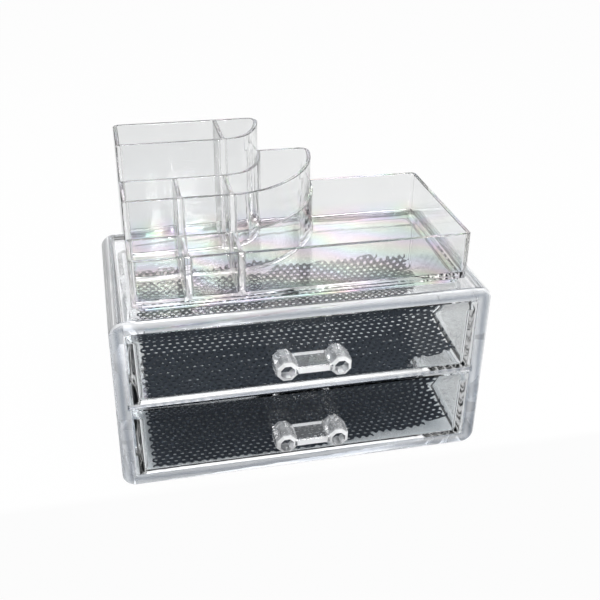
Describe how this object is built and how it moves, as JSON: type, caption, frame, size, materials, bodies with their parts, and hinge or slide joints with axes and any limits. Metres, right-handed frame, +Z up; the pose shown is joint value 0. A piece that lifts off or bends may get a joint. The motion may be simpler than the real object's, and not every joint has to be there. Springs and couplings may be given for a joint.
{
  "type": "storage organizer with drawers",
  "caption": "Clear plastic vanity organizer: a rounded case with mat-lined drawers and faceted handles, and a lift-off tray with stepped, round-ended compartments on top.",
  "frame": {"origin": "centre of the case's underside", "axes": "+Z up, -Y is the drawers' front, +X to the right seen from the front"},
  "size_m": [0.187, 0.1125, 0.1587],
  "materials": {
    "case_clear": "polished clear moulding",
    "drawer_clear": "polished clear moulding",
    "handle_clear": "polished clear moulding with facets",
    "tray_clear": "polished clear moulding",
    "liner_black": "perforated soft mat, charcoal black"
  },
  "bodies": {
    "case": {"case_shell": "case_clear", "case_back": "case_clear", "case_shelf": "case_clear"},
    "upper_drawer_body": {"upper_drawer": "drawer_clear", "upper_handle": "handle_clear", "upper_liner": "liner_black"},
    "lower_drawer_body": {"lower_drawer": "drawer_clear", "lower_handle": "handle_clear", "lower_liner": "liner_black"},
    "tray_body": {"top_tray": "tray_clear"}
  },
  "joints": [
    {"name": "upper_drawer_slide", "type": "slide", "parent": "case", "child": "upper_drawer_body", "axis": [0, -1, 0], "range_m": [0, 0.07]},
    {"name": "lower_drawer_slide", "type": "slide", "parent": "case", "child": "lower_drawer_body", "axis": [0, -1, 0], "range_m": [0, 0.07]},
    {"name": "tray_lift", "type": "slide", "parent": "case", "child": "tray_body", "axis": [0, 0, 1], "range_m": [0, 0.06]}
  ]
}
